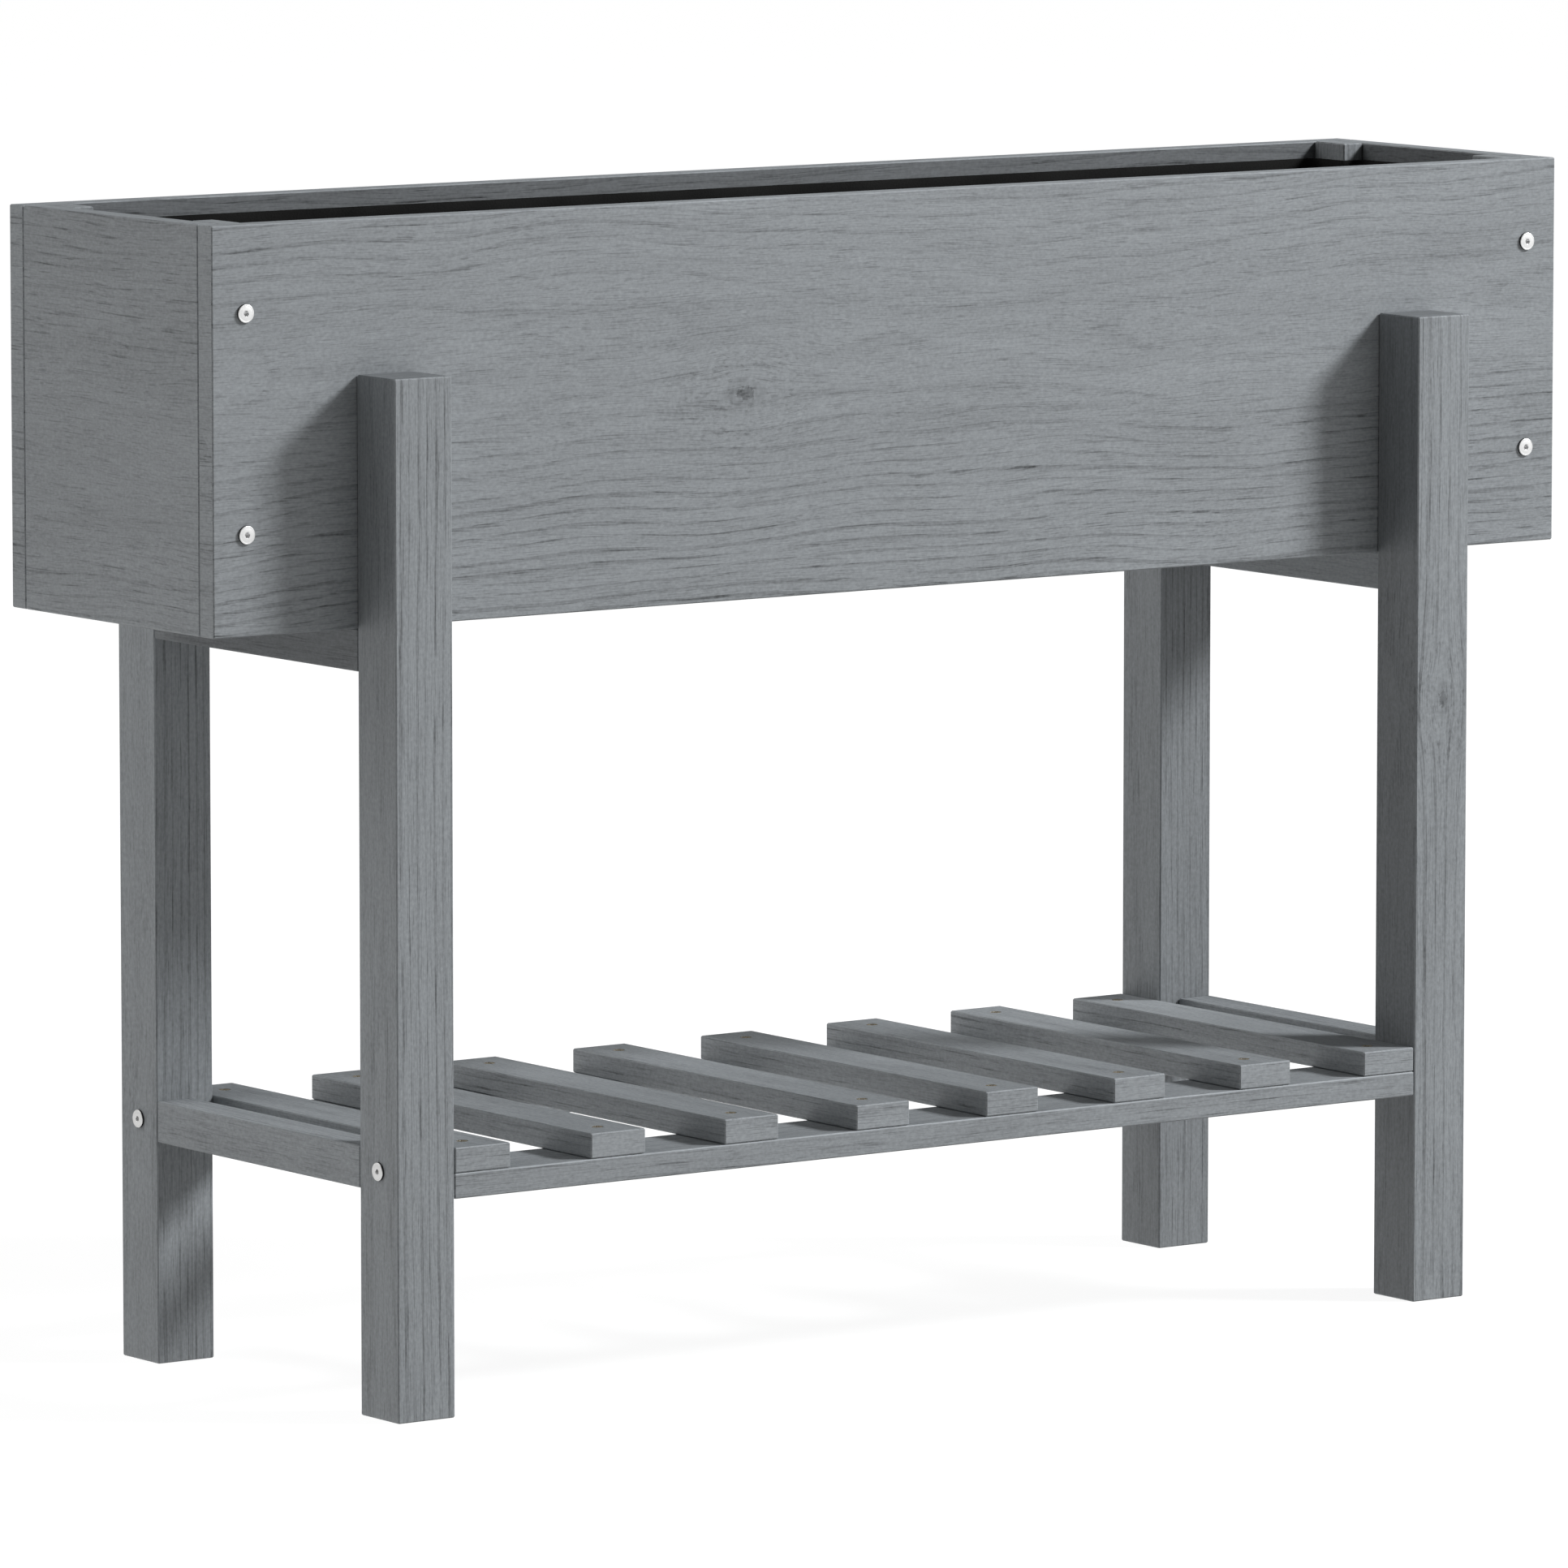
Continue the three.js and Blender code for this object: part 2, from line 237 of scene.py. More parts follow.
BOLT_THREAD_START = 1.2 * MM  # above the bolt's end
BOLT_BARE = 0.4  # the share of the shank below the head that has no thread
THREAD_RUNOUT = 0.4 * MM
SCREW_HEAD_RADIUS = 3.5 * MM
SCREW_HEAD_HEIGHT = 2.2 * MM
SCREW_SHANK_RADIUS = 1.7 * MM
SCREW_LENGTH = 26 * MM
SCREW_HEAD_EDGE = 0.3 * MM  # from the face of the head to its cone
SCREW_RIM = 0.15 * MM
SCREW_PITCH = 1.6 * MM
SCREW_CORE = 0.7  # of the shank's radius, between the threads
SCREW_TIP_RADIUS = 0.2 * MM
SCREW_TAPER = (0.6, 3 * MM)  # the share of the shank's radius at this height above the tip
SCREW_POINT = 4 * MM
SCREW_NECK = 9 * MM  # from the face of the head to the thread
SCREW_CROSS_SPAN = 4.2 * MM
SCREW_CROSS_WIDTH = 0.9 * MM
SCREW_CROSS = [(1, 0), (0.86, 0.5 * MM), (0.5, 1.6 * MM)]  # its share of its size, and its depth
RECESS_REACH = 2.3 * MM  # round the axis of a fastener, the space that only its recess takes
RECESS_START = 0.05 * MM
RECESS_DEPTH = 4 * MM

# The metals: the colour, the roughness, and how cloudy the colour is.
STEEL = ((0.66, 0.66, 0.655), 0.48, 0.05)
# The side of a bolt's head: steel painted near black as the shade that falls on it.
SHADED_STEEL_SIDE = ((0.04, 0.04, 0.04), 0.5, 0.1)
SOCKET = ((0.7, 0.7, 0.7), 0.5, 0.2)
# The cross recess of a screw: brass painted dark as the shade inside it.
SHADED_CROSS_BRASS = ((0.2, 0.18, 0.15), 0.5, 0.2)
BRASS = ((0.78, 0.67, 0.47), 0.45, 0.12)
METAL_CLOUD = 1.2 * MM
METAL_CLOUD_ROUGHNESS = 0.15
SCRATCH = (4 * MM, 0.3 * MM)
SCRATCH_RELIEF = 0.02 * MM
METAL_BUMP = 0.3

# The liner: the size of its mesh, and how the fabric bends, hangs and creases.
LINER_MESH = 7 * MM
LINER_CLEAR = 1.2 * MM  # from the wood to the middle of the fabric
LINER_LOW = 0.5 * MM  # the sheet's edge, below the top of its CAD node
LINER_TUCK = 9 * MM  # the bend where the fabric turns in, beside a post
LINER_WRAP = 3 * MM  # the bend where it goes round a post
LINER_BEND_STEPS = 6
LINER_FOOT = 9 * MM  # the bend from the walls to the floor
LINER_FOOT_STEPS = 5
INSIDE_ONLY = 1  # the triangulation's setting for no triangle outside the ring
LINER_EPSILON = 1e-6
LINER_SLACK = 6 * MM
LINER_CREASE = 0.45  # how deep the creases are, for folds of 1
LINER_EVEN_SLACK = 0.15
LINER_TOP_SLACK = 0.12  # the share of the slack at the fastened top edge
LINER_TAUT = 60 * MM  # the folds die out this near to a post
LINER_LEAST_SLACK = 0.25
LINER_PUCKER = 2.5 * MM
LINER_CREASE_SHARPNESS = 5.0
LINER_FOLDS = 10  # in a metre round the box
LINER_FOLD_TURN = 0.9  # how much a fold changes from the rim to the floor
LINER_SLANTS = 17  # the same two for the creases, and how far they slant
LINER_SLANT_TURN = 2.2
LINER_SLANT = 2
LINER_PUCKERS = (16, 22)  # in a metre along the box and across it
LINER_HANG = 2.2  # how fast the slack grows below the rim
LINER_THICKNESS = 1.0 * MM
# Near black felt, its colour lowered further as painted shade for the inside of the box.
FABRIC_COLOUR = (0.007, 0.007, 0.0068)
FABRIC_GLOSS = 0.1
FABRIC_SHEEN = 0.02
FELT = 1.1 * MM  # the size of the matted fibres
FELT_DETAIL = (3.0, 0.65)  # the detail of their noise, and its roughness
FELT_TONE = 0.9
FELT_RELIEF = 0.5 * MM
DUST = 35 * MM
DUST_TONE = 0.7
FABRIC_LEAST_TONE = 0.3
FABRIC_BUMP = 0.7


class Graph:
    """A node tree, with a short call for each kind of node that the materials use."""

    def __init__(self, tree):
        self.tree = tree

    def node(self, kind, *inputs, **settings):
        made = self.tree.nodes.new(f"ShaderNode{kind}")
        for name, value in settings.items():
            setattr(made, name, value)
        for socket, value in zip(made.inputs, inputs):
            self.feed(socket, value)
        return made

    def feed(self, socket, value):
        if isinstance(value, bpy.types.NodeSocket):
            self.tree.links.new(value, socket)
        elif value is not None:
            socket.default_value = value

    def maths(self, operation, *inputs):
        return self.node("Math", *inputs, operation=operation).outputs[0]

    def vector(self, operation, *inputs):
        return self.node("VectorMath", *inputs, operation=operation).outputs["Vector"]

    def axes(self, vector):
        return self.node("SeparateXYZ", vector).outputs

    def joined(self, *axes):
        return self.node("CombineXYZ", *axes).outputs[0]

    def noise(self, place, detail=1.0, roughness=0.5):
        """A noise from 0 to 1 whose spots are one unit of place across."""
        return self.node("TexNoise", place, None, 1.0, detail, roughness).outputs[0]

    def step(self, value, start, end, low=0.0, high=1.0):
        """Rises smoothly from low to high as value goes from start to end."""
        made = self.node("MapRange", value, start, end, low, high)
        made.interpolation_type = "SMOOTHSTEP"
        return made.outputs[0]

    def swing(self, value, amount):
        """A noise from 0 to 1 turned into one from -amount to amount."""
        return self.maths("MULTIPLY_ADD", value, 2 * amount, -amount)

    def bump(self, shader, height, strength):
        """Gives a shader a relief whose height is in metres."""
        made = self.node("Bump")
        made.inputs["Distance"].default_value = 1.0
        made.inputs["Strength"].default_value = strength
        self.feed(made.inputs["Height"], height)
        self.feed(shader.inputs["Normal"], made.outputs["Normal"])


def stretched(graph, place, mark):
    """A place along and across the grain, in units of a mark's length and width."""
    length, width = mark
    return graph.vector("DIVIDE", place, (length, width, width))


def shifted(graph, place, distance):
    """The same place elsewhere in the wood, so that two noises there have nothing in common."""
    return graph.vector("ADD", place, (distance, distance, distance))


def bent_grain(graph, place, seed, sway, knot, knot_size):
    """Where the wood at place grew: the fibres wave gently, and flow round a knot."""
    wave = stretched(graph, graph.vector("ADD", place, seed), WAVE)
    waves = [graph.swing(graph.noise(shifted(graph, wave, i)), 1.0) for i in (0, 9)]
    waves = [graph.maths("MULTIPLY", each, sway) for each in waves]
    waved = graph.vector("ADD", place, graph.joined(0.0, *waves))
    away = graph.vector("SUBTRACT", place, knot)
    round_knot = graph.vector("MULTIPLY", away, (KNOT_ROUNDNESS, 1, 1))
    distance = graph.node("VectorMath", round_knot, operation="LENGTH").outputs["Value"]
    reach = graph.maths("MULTIPLY", knot_size, KNOT_REACH)
    squares = [graph.maths("POWER", length, 2.0) for length in (reach, distance)]
    share = graph.maths("DIVIDE", squares[0], graph.maths("ADD", *squares))
    pull = graph.maths("MULTIPLY", share, -KNOT_PULL)
    drawn = graph.vector("MULTIPLY", away, graph.joined(0.0, pull, pull))
    return graph.vector("ADD", waved, drawn), distance


def growth_ring(graph, bent, facing, seed, sway, pith, width):
    """Where a place lies in its year's ring, from 0 at the ring's start to 1 at its end, and
    how nearly the ring lies flat in the surface there, from 0 to 1."""
    along = graph.axes(graph.vector("ADD", bent, seed))[0]
    turn = graph.maths("MULTIPLY", along, PITH_TURN)
    wander = [graph.swing(graph.noise(graph.joined(turn, i, 0.0)), PITH_WANDER) for i in (0, 5)]
    wander = [graph.maths("MULTIPLY", each, sway) for each in wander]
    from_pith = graph.vector("SUBTRACT", bent, pith)
    from_pith = graph.vector("ADD", from_pith, graph.joined(0.0, *wander))
    from_pith = graph.vector("MULTIPLY", from_pith, (0, 1, 1))
    radius = graph.node("VectorMath", from_pith, operation="LENGTH").outputs["Value"]
    outwards = graph.vector("NORMALIZE", from_pith)
    dot = graph.node("VectorMath", outwards, facing, operation="DOT_PRODUCT").outputs["Value"]
    rings = graph.maths("DIVIDE", radius, width)
    uneven = graph.swing(graph.noise(graph.joined(rings, 0.0, 0.0)), RING_UNEVEN)
    ring = graph.maths("FRACT", graph.maths("ADD", rings, uneven))
    return ring, graph.maths("ABSOLUTE", dot)


def edge_distance(graph, place, half):
    """How far a place on the surface of a box is from the box's nearest edge."""
    inward = graph.vector("SUBTRACT", half, graph.vector("ABSOLUTE", place))
    a, b, c = graph.axes(inward)
    larger = graph.maths("MINIMUM", graph.maths("MAXIMUM", a, b), c)
    return graph.maths("MAXIMUM", graph.maths("MINIMUM", a, b), larger)


def scaled(graph, colour, amount):
    """A colour times a number that the surface changes from place to place."""
    return graph.vector("MULTIPLY", colour, graph.joined(amount, amount, amount))


def summed(graph, start, *terms):
    """A start plus each of the terms, which are pairs of a value and its weight."""
    total = start
    for value, weight in terms:
        total = graph.maths("MULTIPLY_ADD", value, weight, total)
    return total


def figure_tree():
    """An empty node group with the inputs and outputs of the wood's figure."""
    tree = bpy.data.node_groups.new("grey_wood_figure", "ShaderNodeTree")
    vectors = ("Place", "Facing", "Half", "Seed", "Pith", "Knot")
    floats = ("Sway", "Ring", "Lines", "Tone", "End tone", "Glue line", "Knot size")
    for name in vectors:
        tree.interface.new_socket(name, in_out="INPUT", socket_type="NodeSocketVector")
    for name in (*floats, "Upward", "Upper arris highlight", "To shaded side", "Shaded side tone"):
        tree.interface.new_socket(name, in_out="INPUT", socket_type="NodeSocketFloat")
    tree.interface.new_socket("Colour", in_out="OUTPUT", socket_type="NodeSocketColor")
    for name in ("Roughness", "Relief"):
        tree.interface.new_socket(name, in_out="OUTPUT", socket_type="NodeSocketFloat")
    return tree


def knot_tone(graph, place, from_knot, near_knot, size):
    """What a knot takes from the tone: a small dark heart in a ring of denser wood, with
    flecks round them."""
    chips = graph.noise(graph.vector("DIVIDE", place, (KNOT_CHIP,) * 3), 2.0)
    ragged = graph.maths("ADD", from_knot, graph.swing(chips, KNOT_CHIP_DEPTH))
    heart_size = graph.maths("MULTIPLY", size, KNOT_HEART)
    rim_size = graph.maths("MULTIPLY", size, KNOT_RIM)
    heart = graph.step(graph.maths("SUBTRACT", heart_size, ragged), 0.0, KNOT_HEART_FADE)
    rim = graph.step(graph.maths("SUBTRACT", rim_size, from_knot), 0.0, KNOT_RIM_FADE)
    fleck = graph.noise(stretched(graph, place, KNOT_FLECK), 1.0)
    flecks = graph.step(fleck, *KNOT_FLECK_FADE)
    flecks = graph.maths("MULTIPLY", flecks, graph.step(near_knot, *KNOT_FLECK_NEAR))
    return summed(graph, 0.0, (heart, HEART_TONE), (rim, RIM_TONE), (flecks, FLECK_TONE))


def figure_place(graph, place, facing):
    """Where the figure of a place is drawn, and 1 if it is on an end of the piece. There the
    marks lie along the piece's second axis, as the saw leaves them."""
    along, across, through = graph.axes(place)
    on_end = graph.step(graph.maths("ABSOLUTE", graph.axes(facing)[0]), *SQUARELY)
    blend = graph.node("Mix", data_type="VECTOR")
    graph.feed(blend.inputs["Factor"], on_end)
    graph.feed(blend.inputs[4], place)
    graph.feed(blend.inputs[5], graph.joined(across, along, through))
    return blend.outputs[1], on_end


def arrises(graph, given, mottle):
    """1 on the worn arrises of a piece, and 1 on the arrises that look up and outwards, which
    take a painted highlight.
    """
    edge = edge_distance(graph, given["Place"], given["Half"])
    uneven_edge = graph.maths("MULTIPLY_ADD", mottle, WORN_UNEVEN, edge)
    worn = graph.step(uneven_edge, *WORN_EDGE, 1.0, 0.0)
    risen = graph.step(given["Upward"], *UPPER_START)
    short_of_top = graph.step(given["Upward"], *UPPER_END, 1.0, 0.0)
    return worn, graph.maths("MULTIPLY", risen, short_of_top)


def wood_figure():
    """The node group for the colour, roughness and relief of the wood, in metres."""
    tree = figure_tree()
    graph = Graph(tree)
    given = tree.nodes.new("NodeGroupInput").outputs
    seed, sway, knot_size = given["Seed"], given["Sway"], given["Knot size"]

    place, on_end = figure_place(graph, given["Place"], given["Facing"])
    bent, from_knot = bent_grain(graph, place, seed, sway, given["Knot"], knot_size)
    ring, flat = growth_ring(
        graph, bent, given["Facing"], seed, sway, given["Pith"], given["Ring"]
    )
    wood = graph.vector("ADD", bent, seed)

    def marks(size, shift, detail=1.0):
        return graph.noise(stretched(graph, shifted(graph, wood, shift), size), detail)

    # A ring's dark line is plain where the ring stands steep in the surface.
    near_knot = graph.maths("DIVIDE", knot_size, graph.maths("ADD", from_knot, KNOT_NEAREST))
    quiet = graph.step(near_knot, *KNOT_QUIET, 1.0, FAINTEST_LINE)
    steep = graph.step(flat, *RING_FLAT, 1.0, FAINTEST_LINE)
    plain = graph.maths("MULTIPLY", steep, quiet)
    unbroken = graph.step(marks(BREAK, 17), *BREAK_FADE)
    lines = graph.maths("MULTIPLY", graph.step(ring, *RING_LINE, 1.0, 0.0), unbroken)
    lines = graph.maths("MULTIPLY", lines, graph.maths("MULTIPLY", plain, given["Lines"]))
    end_lines = graph.maths("MULTIPLY_ADD", on_end, END_LINES - 1, 1.0)
    lines = graph.maths("MULTIPLY", lines, end_lines)

    early = graph.step(ring, *RING_PORES, 1.0, 0.0)
    pores = graph.step(marks(PORE, 0), *PORE_FADE)
    for share, least in ((early, LATE_PORES), (plain, FLAT_PORES)):
        kept = graph.maths("MULTIPLY_ADD", share, 1 - least, least)
        pores = graph.maths("MULTIPLY", pores, kept)
    fine_pores = graph.step(marks(FINE_PORE, 3), *FINE_PORE_FADE)
    fibres = graph.swing(marks(FIBRE, 5, 2.0), 1.0)
    streaks = graph.swing(marks(STREAK, 7, 2.0), 1.0)
    clouds = graph.swing(marks(CLOUD, 11), 1.0)
    mottle = graph.swing(marks(MOTTLE, 19, 2.0), 1.0)

    # Two strips of wood meet at a glue line, and the second is a little lighter.
    past_glue = graph.maths("SUBTRACT", graph.axes(given["Place"])[1], given["Glue line"])
    glue = graph.step(graph.maths("ABSOLUTE", past_glue), *GLUE_LINE, 1.0, 0.0)
    second = graph.maths("GREATER_THAN", past_glue, 0.0)

    # Every arris is worn, and the upper arrises of some pieces carry a painted highlight.
    worn, upper = arrises(graph, given, mottle)
    knot = knot_tone(graph, place, from_knot, near_knot, knot_size)
    tone = summed(
        graph,
        PLAIN_TONE,
        (streaks, STREAK_TONE),
        (clouds, CLOUD_TONE),
        (fibres, FIBRE_TONE),
        (mottle, MOTTLE_TONE),
        (lines, LINE_TONE),
        (pores, PORE_TONE),
        (fine_pores, FINE_PORE_TONE),
        (glue, GLUE_TONE),
        (second, SECOND_STRIP_TONE),
        (knot, 1.0),
        (worn, WORN_TONE),
        (upper, given["Upper arris highlight"]),
    )

    # Some pieces and some sides are darkened as painted shade, and some cut ends are darker or
    # lighter than the rest.
    end_change = graph.maths("SUBTRACT", given["End tone"], 1.0)
    end_factor = graph.maths("MULTIPLY_ADD", on_end, end_change, 1.0)
    side_shade = graph.step(given["To shaded side"], *SQUARELY, 1.0, given["Shaded side tone"])
    for tone_factor in (end_factor, given["Tone"], side_shade):
        tone = graph.maths("MULTIPLY", tone, tone_factor)
    rough = summed(graph, WOOD_ROUGHNESS, (pores, PORE_ROUGHNESS), (streaks, STREAK_ROUGHNESS))
    reliefs = ((fibres, FIBRE_RELIEF), (pores, PORE_RELIEF), (fine_pores, FINE_PORE_RELIEF))

    ends = tree.nodes.new("NodeGroupOutput").inputs
    graph.feed(ends["Colour"], scaled(graph, WOOD_COLOUR, tone))
    graph.feed(ends["Roughness"], rough)
    graph.feed(ends["Relief"], summed(graph, 0.0, *reliefs))
    return tree


def wood_pieces():
    """Each wooden CAD node's name, and its axis along the grain."""
    grains = {}
    for row in frame["record"]["subparts"]:
        if row["material_slot"] == "grey_wood":
            low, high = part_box(row["node"])
            size = high - low
            grains[row["node"]] = "XYZ"[max(range(3), key=lambda axis: size[axis])]
    for end in ("left", "right"):
        grains[f"board_{end}_end"] = "Y"
    return grains


def wood_material(name, grain, figure):
    """The wood of one piece: the shared figure, at a place of its own in the tree."""
    low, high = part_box(name)
    axes = BOARD_AXES[grain]
    half = [(high[i] - low[i]) / 2 for i in axes]
    chance = random.Random(name)
    seed = [chance.uniform(0, SEEDS) for _ in range(3)]
    thin = 1 if half[1] <= half[2] else 2
    wide = 3 - thin
    pith = [0.0, 0.0, 0.0]
    pith[thin] = chance.choice((-1, 1)) * chance.uniform(*PITH_DISTANCE)
    pith[wide] = chance.uniform(-PITH_ASIDE, PITH_ASIDE) * half[wide]
    pith, ring = PITHS.get(name, (pith, chance.uniform(*RING)))

    material = bpy.data.materials.new(f"{name}_wood")
    material.use_nodes = True
    graph = Graph(material.node_tree)
    shader = material.node_tree.nodes["Principled BSDF"]
    spot = graph.node("TexCoord").outputs
    local = graph.axes(graph.vector("SUBTRACT", spot["Object"], (low + high) / 2))
    normal = graph.axes(spot["Normal"])
    place = graph.joined(*[local[i] for i in axes])
    facing = graph.joined(*[normal[i] for i in axes])
    side, shaded_side_tone = SHADED_SIDES.get(name, NO_SHADED_SIDE)
    to_side = graph.node("VectorMath", spot["Normal"], side, operation="DOT_PRODUCT")
    group = graph.node("Group")
    group.node_tree = figure
    knot, size = KNOTS.get(name, ((0, 0, 0), 0.0))
    values = {
        "Place": place,
        "Facing": facing,
        "Half": half,
        "Seed": seed,
        "Pith": pith,
        "Sway": WAVE_HEIGHT * half[wide],
        "Ring": ring,
        "Lines": FAINT_LINES if name.startswith(FAINT_PIECES) else 1.0,
        "Tone": PAINTED_PIECE_SHADES.get(name, 1.0),
        "End tone": END_TONES.get(name.split("_")[0], 1.0),
        "Glue line": GLUE_LINES.get(name, NO_GLUE_LINE),
        "Knot": [share * reach for share, reach in zip(knot, half)],
        "Knot size": size,
        "Upward": normal[2],
        "To shaded side": to_side.outputs["Value"],
        "Shaded side tone": shaded_side_tone,
        "Upper arris highlight": UPPER_ARRIS_HIGHLIGHT.get(name.split("_")[0], 0.0),
    }
    for socket, value in values.items():
        graph.feed(group.inputs[socket], value)
    graph.feed(shader.inputs["Base Color"], group.outputs["Colour"])
    graph.feed(shader.inputs["Roughness"], group.outputs["Roughness"])
    shader.inputs["Specular IOR Level"].default_value = WOOD_GLOSS
    graph.bump(shader, group.outputs["Relief"], WOOD_BUMP)
    return material


def set_material(piece, material):
    if not piece.material_slots:
        piece.data.materials.append(material)
    for each in piece.material_slots:
        each.material = material


def dress_wood():
    figure = wood_figure()
    for name, grain in wood_pieces().items():
        set_material(frame["nodes"][name], wood_material(name, grain, figure))


def polygon_points(corners, per_side):
    """A closed outline through corners, with per_side points on each of its sides."""
    points = []
    for start, end in zip(corners, corners[1:] + corners[:1]):
        for i in range(per_side):
            points.append(Vector(start).lerp(Vector(end), i / per_side))
    return points


def hexagon(across_flats):
    radius = across_flats / math.sqrt(3)
    turns = [math.radians(60 * i) for i in range(6)]
    corners = [(radius * math.cos(turn), radius * math.sin(turn)) for turn in turns]
    return polygon_points(corners, HEXAGON_POINTS)


def cross(span, width):
    """The outline of a cross recess, from the outer corner of one arm round to the next."""
    tip, side = span / 2, width / 2
    quarter = [(tip, -side), (tip, side), (side, side)]
    corners = []
    for _ in range(4):
        corners += quarter
        quarter = [(-y, x) for x, y in quarter]
    return polygon_points(corners, CROSS_POINTS)


def circle(outline, radius, height):
    """A circle with a point at the bearing of each point of an outline."""
    return [(*(point.normalized() * radius), height) for point in outline]


def recess(outline, share, height):
    """An outline at a share of its size."""
    return [(*(point * share), height) for point in outline]


def threaded(core, crest, pitch, start, end):
    """A screw thread's profile as (radius, height) pairs, from start up to end."""
    turns = int((end - start) / pitch)
    rows = []
    for i in range(turns):
        rows += [(core, start + i * pitch), (crest, start + (i + 0.5) * pitch)]
    return [*rows, (core, start + turns * pitch)]


def rounded(radius, height, fillet, steps=5):
    """The profile of a rounded rim, from its side up to its top."""
    turns = [math.pi / 2 * i / steps for i in range(steps + 1)]
    centre, base = radius - fillet, height - fillet
    return [(centre + fillet * math.cos(turn), base + fillet * math.sin(turn)) for turn in turns]


def lofted(name, sections, place):
    """A closed skin over sections of equal length, with a flat cap on the first and last.
    Returns the mesh, in the frame that place turns the sections into."""
    build = bmesh.new()
    rows = [[build.verts.new(place @ Vector(point)) for point in row] for row in sections]
    for low, high in zip(rows, rows[1:]):
        for i in range(len(low)):
            j = (i + 1) % len(low)
            build.faces.new((low[i], low[j], high[j], high[i]))
    build.faces.new(reversed(rows[0]))
    build.faces.new(rows[-1])
    bmesh.ops.recalc_face_normals(build, faces=build.faces)
    for face in build.faces:
        face.smooth = True
    for edge in build.edges:
        edge.smooth = edge.calc_face_angle(math.pi) < SHARP_ANGLE
    mesh = bpy.data.meshes.new(name)
    build.to_mesh(mesh)
    build.free()
    return mesh


def bolt_sections(length):
    """A bolt along +Z with the underside of its head at z = 0."""
    socket = hexagon(BOLT_SOCKET_FLATS)
    top, shank = BOLT_HEAD_HEIGHT, BOLT_SHANK_RADIUS
    profile = [(shank - inward, upward - length) for inward, upward in BOLT_END]
    thread_start = BOLT_THREAD_START - length
    bare = -BOLT_BARE * length
    profile += threaded(shank - BOLT_THREAD_DEPTH, shank, BOLT_PITCH, thread_start, bare)
    profile += [(shank, THREAD_RUNOUT + bare), (shank, BOLT_SEAT), (BOLT_HEAD_RADIUS, BOLT_SEAT)]
    profile += rounded(BOLT_HEAD_RADIUS, top, BOLT_RIM)
    inner = BOLT_HEAD_RADIUS - BOLT_RIM
    profile += [(inner - inward, top - downward) for inward, downward in BOLT_FACE]
    sections = [circle(socket, *row) for row in profile]
    bevel, bevel_depth = BOLT_MOUTH
    bottom = top - BOLT_SOCKET_DEPTH
    sections.append(circle(socket, BOLT_SOCKET_FLATS / math.sqrt(3) + bevel, top))
    sections.append(recess(socket, 1, top - bevel_depth))
    sections.append(recess(socket, 1, bottom))
    sections.append(circle(socket, BOLT_SOCKET_TIP_RADIUS, bottom - BOLT_SOCKET_TIP))
    return sections


def screw_sections():
    """A countersunk screw along +Z with the face of its head at z = 0."""
    slot = cross(SCREW_CROSS_SPAN, SCREW_CROSS_WIDTH)
    shank, head, length = SCREW_SHANK_RADIUS, SCREW_HEAD_RADIUS, SCREW_LENGTH
    taper, taper_height = SCREW_TAPER
    profile = [(SCREW_TIP_RADIUS, -length), (shank * taper, taper_height - length)]
    thread_start = SCREW_POINT - length
    profile += threaded(shank * SCREW_CORE, shank, SCREW_PITCH, thread_start, -SCREW_NECK)
    profile += [(shank, THREAD_RUNOUT - SCREW_NECK), (shank, -SCREW_HEAD_HEIGHT)]
    profile += [(head, -SCREW_HEAD_EDGE), *rounded(head, 0, SCREW_RIM, 3)]
    sections = [circle(slot, *row) for row in profile]
    return sections + [recess(slot, share, -depth) for share, depth in SCREW_CROSS]


def fastener_place(name):
    """The frame of a fastener, with its origin on the outer end of its CAD node and +Z
    outwards, and the fastener's length."""
    low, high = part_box(name)
    size, middle = high - low, (low + high) / 2
    axis = max(range(3), key=lambda i: size[i])
    outwards = Vector((0, 0, 0))
    outwards[axis] = 1 if name.startswith("screw") or middle[axis] > 0 else -1
    end = Matrix.Translation(middle + outwards * size[axis] / 2)
    turn = outwards.to_track_quat("Z", "Y").to_matrix().to_4x4()
    return end @ turn, size[axis]


def metal_material(name, colour, roughness, cloudiness):
    """Plated metal: faint clouds in its colour and polish, and fine scratches."""
    material = bpy.data.materials.new(name)
    material.use_nodes = True
    graph = Graph(material.node_tree)
    shader = material.node_tree.nodes["Principled BSDF"]
    place = graph.node("TexCoord").outputs["Object"]
    cloud = graph.noise(graph.vector("DIVIDE", place, (METAL_CLOUD,) * 3), 2.0)
    scratch = graph.noise(stretched(graph, place, SCRATCH), 2.0)
    tone = graph.maths("ADD", graph.swing(cloud, cloudiness), 1.0)
    graph.feed(shader.inputs["Base Color"], scaled(graph, colour, tone))
    rough = graph.maths("ADD", graph.swing(cloud, METAL_CLOUD_ROUGHNESS), roughness)
    graph.feed(shader.inputs["Roughness"], rough)
    shader.inputs["Metallic"].default_value = 1.0
    graph.bump(shader, graph.maths("MULTIPLY", scratch, SCRATCH_RELIEF), METAL_BUMP)
    return material


